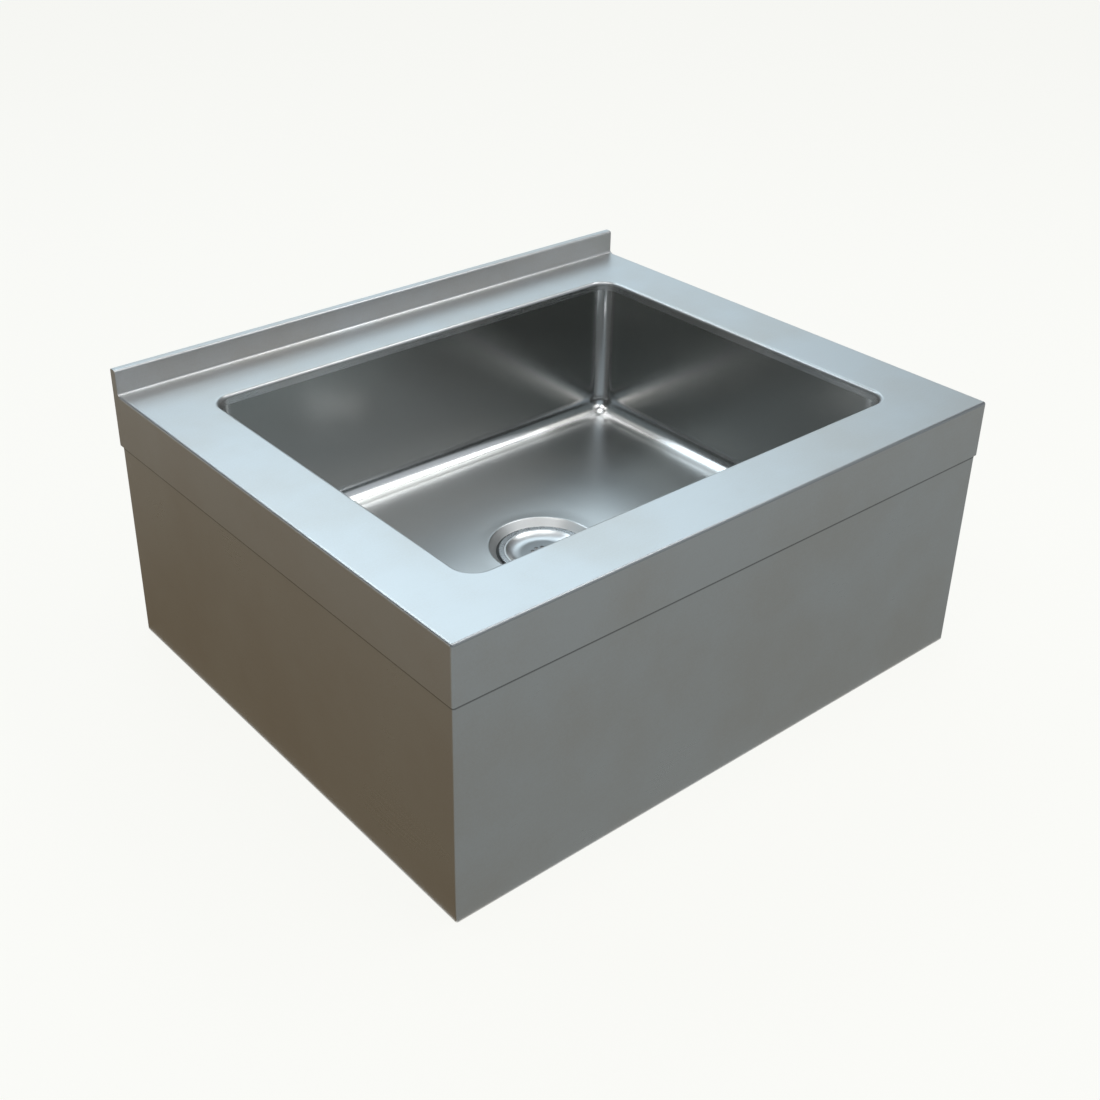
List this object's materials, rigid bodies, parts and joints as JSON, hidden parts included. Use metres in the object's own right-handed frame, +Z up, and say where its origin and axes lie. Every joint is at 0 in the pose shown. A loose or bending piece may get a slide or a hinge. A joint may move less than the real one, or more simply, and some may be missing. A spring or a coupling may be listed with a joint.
{
  "type": "mop service sink",
  "caption": "Floor-standing stainless steel mop sink: deep bowl with rolled lip in a flat deck, low riser along the wall, skirt to the floor, flanged drain with lift-out crumb cup.",
  "frame": {"origin": "middle of the footprint, on the floor", "axes": "+Z up, +X to the right along the front, +Y towards the wall"},
  "size_m": [0.635, 0.5334, 0.2985],
  "materials": {
    "sheet_steel": "satin sheet stainless steel with a fine directional grain",
    "fastener_steel": "plain stainless steel weld studs and nuts",
    "drain_metal": "turned stainless steel, bright flange",
    "polished_cup": "polished stainless steel",
    "damping_rubber": "matt black damping sheet",
    "seal_rubber": "smooth black rubber",
    "fibre_board": "brown fibre washer",
    "locknut_brass": "cast brass, unpolished"
  },
  "bodies": {
    "sink": {"deck": "sheet_steel", "riser_cap_left": "sheet_steel", "riser_cap_right": "sheet_steel", "bowl": "sheet_steel", "front_skirt": "sheet_steel", "back_skirt": "sheet_steel", "left_skirt": "sheet_steel", "right_skirt": "sheet_steel", "channel_front": "sheet_steel", "channel_back": "sheet_steel", "channel_left": "sheet_steel", "channel_right": "sheet_steel", "channel_studs": "fastener_steel", "channel_nuts": "fastener_steel", "pad_left": "damping_rubber", "pad_right": "damping_rubber", "anchor_front_left": "sheet_steel", "anchor_front_right": "sheet_steel", "anchor_back_left": "sheet_steel", "anchor_back_right": "sheet_steel", "drain_body": "drain_metal", "flange_seal": "seal_rubber", "drain_gasket": "seal_rubber", "friction_washer": "fibre_board", "drain_locknut": "locknut_brass"},
    "cup": {"crumb_cup": "polished_cup"}
  },
  "joints": [
    {"name": "cup_lift", "type": "slide", "parent": "sink", "child": "cup", "axis": [0, 0, 1], "range_m": [0, 0.06]}
  ]
}
